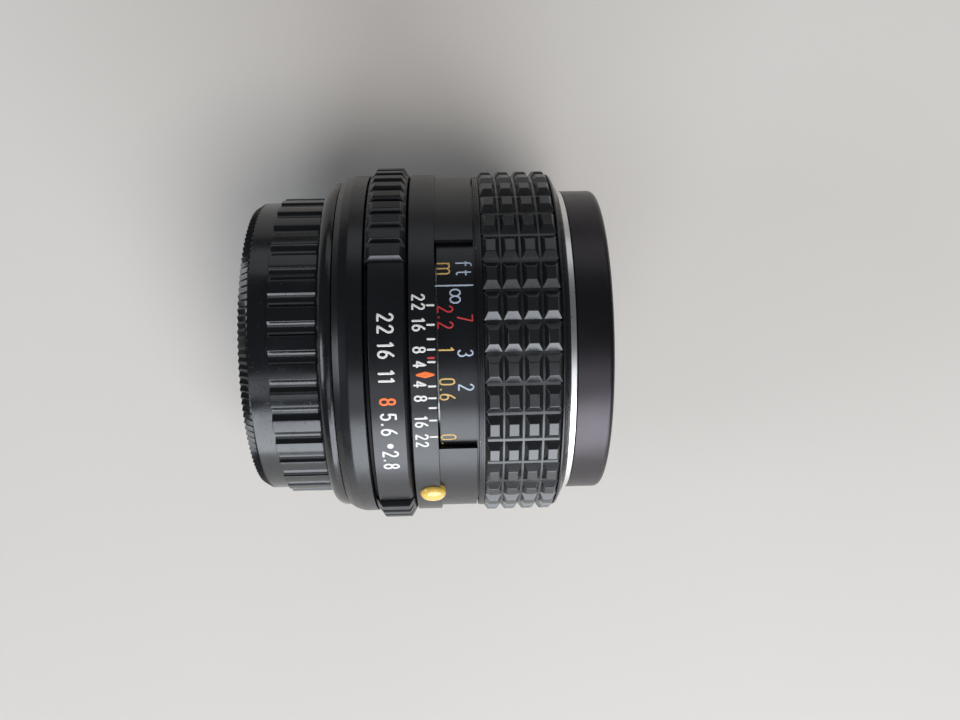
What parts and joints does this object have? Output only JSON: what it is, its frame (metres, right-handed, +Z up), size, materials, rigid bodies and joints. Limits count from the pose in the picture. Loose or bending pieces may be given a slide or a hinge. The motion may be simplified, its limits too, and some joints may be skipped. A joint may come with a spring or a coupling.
{
  "type": "prime camera lens",
  "caption": "Small wide-angle prime lens with a bayonet mount, aperture and focusing rings, depth scale, rubber grip and a rear cap.",
  "frame": {"origin": "centre of the bayonet mount's flange face", "axes": "+X along the optical axis, towards the front of the lens; +Z up as the lens lies"},
  "size_m": [0.0594, 0.063, 0.062],
  "materials": {
    "black_paint": "satin black paint, worn thin on the edges",
    "black_anodised": "satin black anodised",
    "inner_black": "matt black",
    "cap_plastic": "glossy black moulding",
    "grip_rubber": "matt, squares in rows",
    "bare_aluminium": "fine turned",
    "brass": "turned",
    "chrome": "satin chrome on brass",
    "bright_steel": "bright",
    "blade_steel": "blackened",
    "amber_plastic": "clear amber, polished",
    "lens_glass": "polished and coated"
  },
  "bodies": {
    "fixed_barrel": {"main_barrel": "inner_black", "rear_barrel": "black_paint", "bayonet_mount": "chrome", "mount_screw_1": "bright_steel", "mount_screw_2": "bright_steel", "mount_screw_3": "bright_steel", "mount_screw_4": "bright_steel", "mount_screw_5": "bright_steel", "rear_baffle": "inner_black", "depth_scale_sleeve": "black_paint", "barrel_tie_ring": "inner_black", "index_bead": "amber_plastic", "guide_key_1": "brass", "guide_key_2": "brass", "click_ball": "bright_steel", "click_spring": "bright_steel", "lever_spring": "bright_steel"},
    "cap": {"rear_cap": "cap_plastic"},
    "aperture_control": {"aperture_ring": "black_paint", "aperture_link": "brass"},
    "stop_down": {"stop_down_lever": "bright_steel"},
    "focusing": {"focus_ring": "black_paint", "focus_helicoid": "brass", "grip_rubber": "grip_rubber", "focus_set_screw_1": "bright_steel", "focus_set_screw_2": "bright_steel", "focus_set_screw_3": "bright_steel"},
    "optical_unit": {"moving_barrel": "bare_aluminium", "bright_band": "bare_aluminium", "front_barrel": "black_anodised", "front_name_ring": "black_anodised", "front_retainer": "inner_black", "inner_retainer": "inner_black", "front_cell": "inner_black", "lens_element_1": "lens_glass", "lens_element_2": "lens_glass", "lens_element_3": "lens_glass", "lens_element_4": "lens_glass", "lens_element_5": "lens_glass", "lens_element_6": "lens_glass", "lens_element_7": "lens_glass", "lens_spacer_1": "inner_black", "lens_spacer_2": "inner_black", "lens_spacer_3": "inner_black", "rear_cell": "inner_black", "rear_retainer": "inner_black", "iris_housing": "inner_black", "iris_cover": "inner_black"},
    "iris_cam": {"iris_cam_ring": "brass"},
    "blade_1": {"iris_blade_1": "blade_steel"},
    "blade_2": {"iris_blade_2": "blade_steel"},
    "blade_3": {"iris_blade_3": "blade_steel"},
    "blade_4": {"iris_blade_4": "blade_steel"},
    "blade_5": {"iris_blade_5": "blade_steel"}
  },
  "joints": [
    {"name": "cap_pull", "type": "slide", "parent": "fixed_barrel", "child": "cap", "axis": [-1, 0, 0], "range_m": [0, 0.016]},
    {"name": "aperture_turn", "type": "hinge", "parent": "fixed_barrel", "child": "aperture_control", "pos_m": [0.0082, 0, 0], "axis": [1, 0, 0], "range_deg": [-30.2, 15.1]},
    {"name": "lever_turn", "type": "hinge", "parent": "fixed_barrel", "child": "stop_down", "pos_m": [0.0042, 0, 0], "axis": [1, 0, 0], "range_deg": [0, 20], "stiffness_Nm_per_rad": 0.01, "springref_deg": -11.46},
    {"name": "focus_turn", "type": "hinge", "parent": "fixed_barrel", "child": "focusing", "pos_m": [0.0294, 0, 0], "axis": [1, 0, 0], "range_deg": [-53, 27.3]},
    {"name": "optics_slide", "type": "slide", "parent": "fixed_barrel", "child": "optical_unit", "axis": [1, 0, 0], "range_m": [-0.0012, 0.0024]},
    {"name": "cam_turn", "type": "hinge", "parent": "optical_unit", "child": "iris_cam", "pos_m": [0.0217, 0, 0], "axis": [1, 0, 0], "range_deg": [-30.2, 15.1]},
    {"name": "blade_1_swing", "type": "hinge", "parent": "optical_unit", "child": "blade_1", "pos_m": [0.0253, -0.00376, 0.01034], "axis": [1, 0, 0], "range_deg": [-12.8, 6.4]},
    {"name": "blade_2_swing", "type": "hinge", "parent": "optical_unit", "child": "blade_2", "pos_m": [0.0248, -0.01099, -0.00038], "axis": [1, 0, 0], "range_deg": [-12.8, 6.4]},
    {"name": "blade_3_swing", "type": "hinge", "parent": "optical_unit", "child": "blade_3", "pos_m": [0.0243, -0.00303, -0.01057], "axis": [1, 0, 0], "range_deg": [-12.8, 6.4]},
    {"name": "blade_4_swing", "type": "hinge", "parent": "optical_unit", "child": "blade_4", "pos_m": [0.0238, 0.00912, -0.00615], "axis": [1, 0, 0], "range_deg": [-12.8, 6.4]},
    {"name": "blade_5_swing", "type": "hinge", "parent": "optical_unit", "child": "blade_5", "pos_m": [0.0233, 0.00867, 0.00677], "axis": [1, 0, 0], "range_deg": [-12.8, 6.4]}
  ],
  "couplings": [
    {"joint": "optics_slide", "follows": "focus_turn", "m_per_rad": -0.0025},
    {"joint": "cam_turn", "follows": "aperture_turn", "ratio": 1},
    {"joint": "blade_1_swing", "follows": "aperture_turn", "ratio": 0.42},
    {"joint": "blade_2_swing", "follows": "aperture_turn", "ratio": 0.42},
    {"joint": "blade_3_swing", "follows": "aperture_turn", "ratio": 0.42},
    {"joint": "blade_4_swing", "follows": "aperture_turn", "ratio": 0.42},
    {"joint": "blade_5_swing", "follows": "aperture_turn", "ratio": 0.42}
  ]
}
